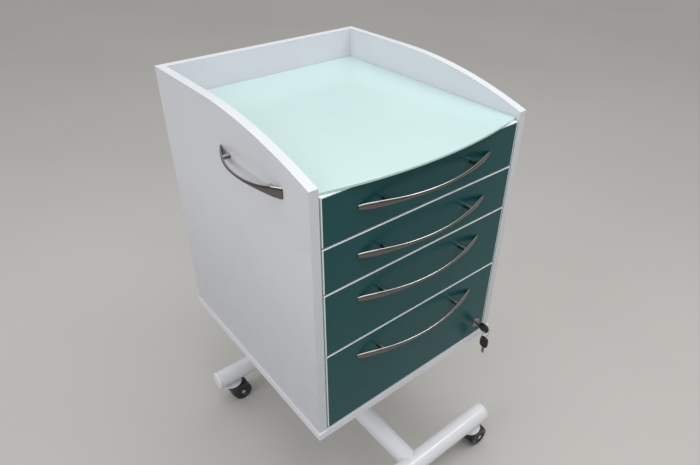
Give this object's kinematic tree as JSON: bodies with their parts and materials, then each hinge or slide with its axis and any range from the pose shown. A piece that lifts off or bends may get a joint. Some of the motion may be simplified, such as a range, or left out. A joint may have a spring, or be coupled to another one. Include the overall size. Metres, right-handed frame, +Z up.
{
  "type": "mobile drawer cabinet",
  "caption": "Mobile bedside or treatment cabinet: white carcass with raised curved sides, glass worktop and teal drawers, on a column and a tubular H base with castors.",
  "frame": {"origin": "on the floor, on the axis of the support column, in the middle of the H base", "axes": "+Z up, -Y towards the drawer fronts, +X towards the side with the lock"},
  "size_m": [0.514, 0.5454, 0.915],
  "materials": {
    "white_laminate": "smooth satin white melamine on 16 mm chipboard",
    "white_edging": "satin white ABS edge banding",
    "mint_glass": "back-coated pale mint glass, satin, green at its edge",
    "teal_laminate": "semi-gloss dark teal laminate on 16 mm chipboard",
    "chrome": "polished chrome plating",
    "drawer_board": "white melamine on 12 mm chipboard",
    "hardboard": "white lacquered 4 mm hardboard",
    "zinc_steel": "bright zinc plating",
    "nickel": "nickel plating",
    "white_powder_coat": "glossy white powder coat on steel tube",
    "white_cap_plastic": "white moulded plastic",
    "black_key_plastic": "black moulded key head",
    "black_castor_plastic": "black nylon",
    "black_wheel_plastic": "black nylon wheel, slightly worn tread"
  },
  "bodies": {
    "cabinet": {"left_side_panel": "white_laminate", "right_side_panel": "white_laminate", "carcass_edging": "white_edging", "back_panel": "white_laminate", "bottom_panel": "white_laminate", "top_panel": "white_laminate", "glass_top": "mint_glass", "push_handles": "chrome", "fixed_slide_rails": "zinc_steel", "lock_strike_plate": "zinc_steel", "support_column": "white_powder_coat", "column_plate": "white_powder_coat", "base_screws": "zinc_steel", "spine_tube": "white_powder_coat", "front_cross_tube": "white_powder_coat", "rear_cross_tube": "white_powder_coat", "tube_end_caps": "white_cap_plastic", "castor_mount_discs": "white_powder_coat", "castor_stems": "zinc_steel"},
    "drawer_1": {"drawer_1_front": "teal_laminate", "drawer_1_edging": "white_edging", "drawer_1_handle": "chrome", "drawer_1_box": "drawer_board", "drawer_1_bottom": "hardboard", "drawer_1_slide_moving": "zinc_steel"},
    "slide_middle_1": {"drawer_1_slide_middle": "zinc_steel"},
    "drawer_2": {"drawer_2_front": "teal_laminate", "drawer_2_edging": "white_edging", "drawer_2_handle": "chrome", "drawer_2_box": "drawer_board", "drawer_2_bottom": "hardboard", "drawer_2_slide_moving": "zinc_steel"},
    "slide_middle_2": {"drawer_2_slide_middle": "zinc_steel"},
    "drawer_3": {"drawer_3_front": "teal_laminate", "drawer_3_edging": "white_edging", "drawer_3_handle": "chrome", "drawer_3_box": "drawer_board", "drawer_3_bottom": "hardboard", "drawer_3_slide_moving": "zinc_steel"},
    "slide_middle_3": {"drawer_3_slide_middle": "zinc_steel"},
    "drawer_4": {"drawer_4_front": "teal_laminate", "drawer_4_edging": "white_edging", "drawer_4_handle": "chrome", "drawer_4_box": "drawer_board", "drawer_4_bottom": "hardboard", "drawer_4_slide_moving": "zinc_steel", "lock_cylinder": "nickel"},
    "slide_middle_4": {"drawer_4_slide_middle": "zinc_steel"},
    "lock_plug": {"lock_plug_and_cam": "nickel", "key": "black_key_plastic"},
    "hanging_keys": {"key_ring": "nickel", "spare_key": "black_key_plastic"},
    "castor_front_left": {"castor_front_left_housing": "black_castor_plastic"},
    "wheels_front_left": {"castor_front_left_wheels": "black_wheel_plastic"},
    "castor_front_right": {"castor_front_right_housing": "black_castor_plastic"},
    "wheels_front_right": {"castor_front_right_wheels": "black_wheel_plastic"},
    "castor_rear_left": {"castor_rear_left_housing": "black_castor_plastic"},
    "wheels_rear_left": {"castor_rear_left_wheels": "black_wheel_plastic"},
    "castor_rear_right": {"castor_rear_right_housing": "black_castor_plastic"},
    "wheels_rear_right": {"castor_rear_right_wheels": "black_wheel_plastic"}
  },
  "joints": [
    {"name": "drawer_1_slide", "type": "slide", "parent": "cabinet", "child": "drawer_1", "axis": [0, -1, 0], "range_m": [0, 0.38]},
    {"name": "slide_middle_1_slide", "type": "slide", "parent": "cabinet", "child": "slide_middle_1", "axis": [0, -1, 0], "range_m": [0, 0.19]},
    {"name": "drawer_2_slide", "type": "slide", "parent": "cabinet", "child": "drawer_2", "axis": [0, -1, 0], "range_m": [0, 0.38]},
    {"name": "slide_middle_2_slide", "type": "slide", "parent": "cabinet", "child": "slide_middle_2", "axis": [0, -1, 0], "range_m": [0, 0.19]},
    {"name": "drawer_3_slide", "type": "slide", "parent": "cabinet", "child": "drawer_3", "axis": [0, -1, 0], "range_m": [0, 0.38]},
    {"name": "slide_middle_3_slide", "type": "slide", "parent": "cabinet", "child": "slide_middle_3", "axis": [0, -1, 0], "range_m": [0, 0.19]},
    {"name": "drawer_4_slide", "type": "slide", "parent": "cabinet", "child": "drawer_4", "axis": [0, -1, 0], "range_m": [0, 0.38]},
    {"name": "slide_middle_4_slide", "type": "slide", "parent": "cabinet", "child": "slide_middle_4", "axis": [0, -1, 0], "range_m": [0, 0.19]},
    {"name": "key_turn", "type": "hinge", "parent": "drawer_4", "child": "lock_plug", "pos_m": [0.1865, -0.22, 0.396], "axis": [0, 1, 0], "range_deg": [0, 90]},
    {"name": "key_ring_swing", "type": "hinge", "parent": "lock_plug", "child": "hanging_keys", "pos_m": [0.1865, -0.2495, 0.3944], "axis": [1, 0, 0], "range_deg": [-90, 10]},
    {"name": "castor_front_left_swivel", "type": "hinge", "parent": "cabinet", "child": "castor_front_left", "pos_m": [-0.195, -0.2467, 0.055], "axis": [0, 0, 1], "continuous": true},
    {"name": "wheels_front_left_roll", "type": "hinge", "parent": "castor_front_left", "child": "wheels_front_left", "pos_m": [-0.175, -0.2467, 0.025], "axis": [0, 1, 0], "continuous": true},
    {"name": "castor_front_right_swivel", "type": "hinge", "parent": "cabinet", "child": "castor_front_right", "pos_m": [0.195, -0.2467, 0.055], "axis": [0, 0, 1], "continuous": true},
    {"name": "wheels_front_right_roll", "type": "hinge", "parent": "castor_front_right", "child": "wheels_front_right", "pos_m": [0.215, -0.2467, 0.025], "axis": [0, 1, 0], "continuous": true},
    {"name": "castor_rear_left_swivel", "type": "hinge", "parent": "cabinet", "child": "castor_rear_left", "pos_m": [-0.195, 0.2467, 0.055], "axis": [0, 0, 1], "continuous": true},
    {"name": "wheels_rear_left_roll", "type": "hinge", "parent": "castor_rear_left", "child": "wheels_rear_left", "pos_m": [-0.175, 0.2467, 0.025], "axis": [0, 1, 0], "continuous": true},
    {"name": "castor_rear_right_swivel", "type": "hinge", "parent": "cabinet", "child": "castor_rear_right", "pos_m": [0.195, 0.2467, 0.055], "axis": [0, 0, 1], "continuous": true},
    {"name": "wheels_rear_right_roll", "type": "hinge", "parent": "castor_rear_right", "child": "wheels_rear_right", "pos_m": [0.215, 0.2467, 0.025], "axis": [0, 1, 0], "continuous": true}
  ],
  "couplings": [
    {"joint": "slide_middle_1_slide", "follows": "drawer_1_slide", "ratio": 0.5},
    {"joint": "slide_middle_2_slide", "follows": "drawer_2_slide", "ratio": 0.5},
    {"joint": "slide_middle_3_slide", "follows": "drawer_3_slide", "ratio": 0.5},
    {"joint": "slide_middle_4_slide", "follows": "drawer_4_slide", "ratio": 0.5}
  ]
}
